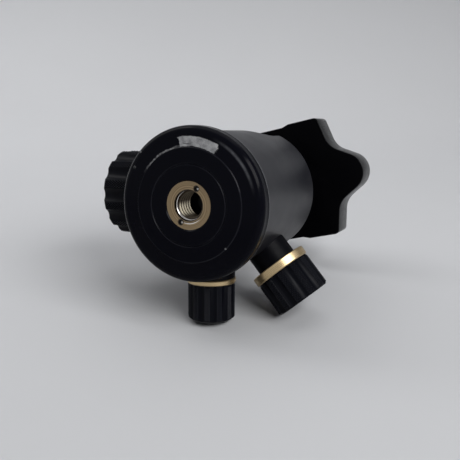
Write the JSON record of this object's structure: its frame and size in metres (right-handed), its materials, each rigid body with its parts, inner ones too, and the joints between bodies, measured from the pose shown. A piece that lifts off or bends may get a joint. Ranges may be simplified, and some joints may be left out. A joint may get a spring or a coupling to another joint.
{
  "type": "tripod ball head",
  "caption": "Tripod ball head with a panning base, a main lock, friction and pan lock knob, and a wavy camera platform with a stud.",
  "frame": {"origin": "centre of the base's flat face, on the pan axis, at the mouth of the tripod thread", "axes": "+Z along the pan axis from tripod to camera, +X along the main lock knob, -Y along the pan lock knob"},
  "size_m": [0.0811, 0.069, 0.093],
  "materials": {
    "gloss_black": "gloss",
    "satin_black": "satin",
    "knob_black": "satin, knurled",
    "gold": "anodised",
    "brass": "turned",
    "steel": "turned",
    "spring_steel": "oiled",
    "ball_black": "hard anodised",
    "acetal": "plain",
    "ptfe": "plain",
    "rubber": "fine ribs"
  },
  "bodies": {
    "base": {"base_plate": "gloss_black", "thread_insert": "brass", "pan_bearing_washer": "ptfe", "pan_upper_washer": "ptfe", "pan_retaining_disc": "steel", "pan_retaining_screw": "steel"},
    "housing": {"housing": "satin_black", "seat_spring": "spring_steel", "lift_ring": "steel", "lower_ball_seat": "acetal", "upper_ball_collar": "acetal", "ball_retaining_ring": "satin_black"},
    "pan_knob": {"pan_lock_screw": "steel", "pan_ring": "gold", "pan_lock_grip": "knob_black"},
    "pan_shoe": {"pan_brake_shoe": "brass"},
    "main_knob": {"main_lock_screw": "steel", "main_ring": "gold", "main_lock_knob": "knob_black", "main_fixing_screw": "steel", "main_lock_cap": "gloss_black"},
    "main_pin": {"main_plunger": "steel"},
    "friction_knob": {"friction_screw": "steel", "friction_ring": "gold", "friction_grip": "knob_black"},
    "friction_pin": {"friction_plunger": "steel"},
    "ball": {"ball": "ball_black"},
    "stem": {"stem": "satin_black", "platform_washer": "ptfe"},
    "platform": {"platform": "gloss_black", "rubber_pad": "rubber", "camera_stud": "steel"}
  },
  "joints": [
    {"name": "pan_turn", "type": "hinge", "parent": "base", "child": "housing", "pos_m": [0, 0, 0.0065], "axis": [0, 0, 1], "continuous": true},
    {"name": "ball_tilt_x", "type": "hinge", "parent": "housing", "child": "ball", "pos_m": [0, 0, 0.05], "axis": [1, 0, 0], "range_deg": [-28, 28]},
    {"name": "ball_tilt_y", "type": "hinge", "parent": "ball", "child": "stem", "pos_m": [0, 0, 0.05], "axis": [0, 1, 0], "range_deg": [-28, 28]},
    {"name": "platform_spin", "type": "hinge", "parent": "stem", "child": "platform", "pos_m": [0, 0, 0.0742], "axis": [0, 0, 1], "continuous": true},
    {"name": "pan_lock_turn", "type": "hinge", "parent": "housing", "child": "pan_knob", "pos_m": [0, -0.03, 0.0171], "axis": [0, 1, 0], "range_deg": [0, 200]},
    {"name": "pan_shoe_slide", "type": "slide", "parent": "housing", "child": "pan_shoe", "axis": [0, 1, 0], "range_m": [0, 0.0006]},
    {"name": "main_lock_turn", "type": "hinge", "parent": "housing", "child": "main_knob", "pos_m": [0.03, 0, 0.0319], "axis": [-1, 0, 0], "range_deg": [0, 270]},
    {"name": "main_pin_slide", "type": "slide", "parent": "housing", "child": "main_pin", "axis": [-1, 0, 0], "range_m": [0, 0.0012]},
    {"name": "friction_turn", "type": "hinge", "parent": "housing", "child": "friction_knob", "pos_m": [-0.01926, -0.023, 0.031], "axis": [0.642, 0.7667, 0], "range_deg": [0, 270]},
    {"name": "friction_pin_slide", "type": "slide", "parent": "housing", "child": "friction_pin", "axis": [0.642, 0.7667, 0], "range_m": [0, 0.0008]}
  ],
  "couplings": [
    {"joint": "pan_shoe_slide", "follows": "pan_lock_turn", "m_per_rad": 0.00015915},
    {"joint": "main_pin_slide", "follows": "main_lock_turn", "m_per_rad": 0.00023873},
    {"joint": "friction_pin_slide", "follows": "friction_turn", "m_per_rad": 0.00015915}
  ]
}
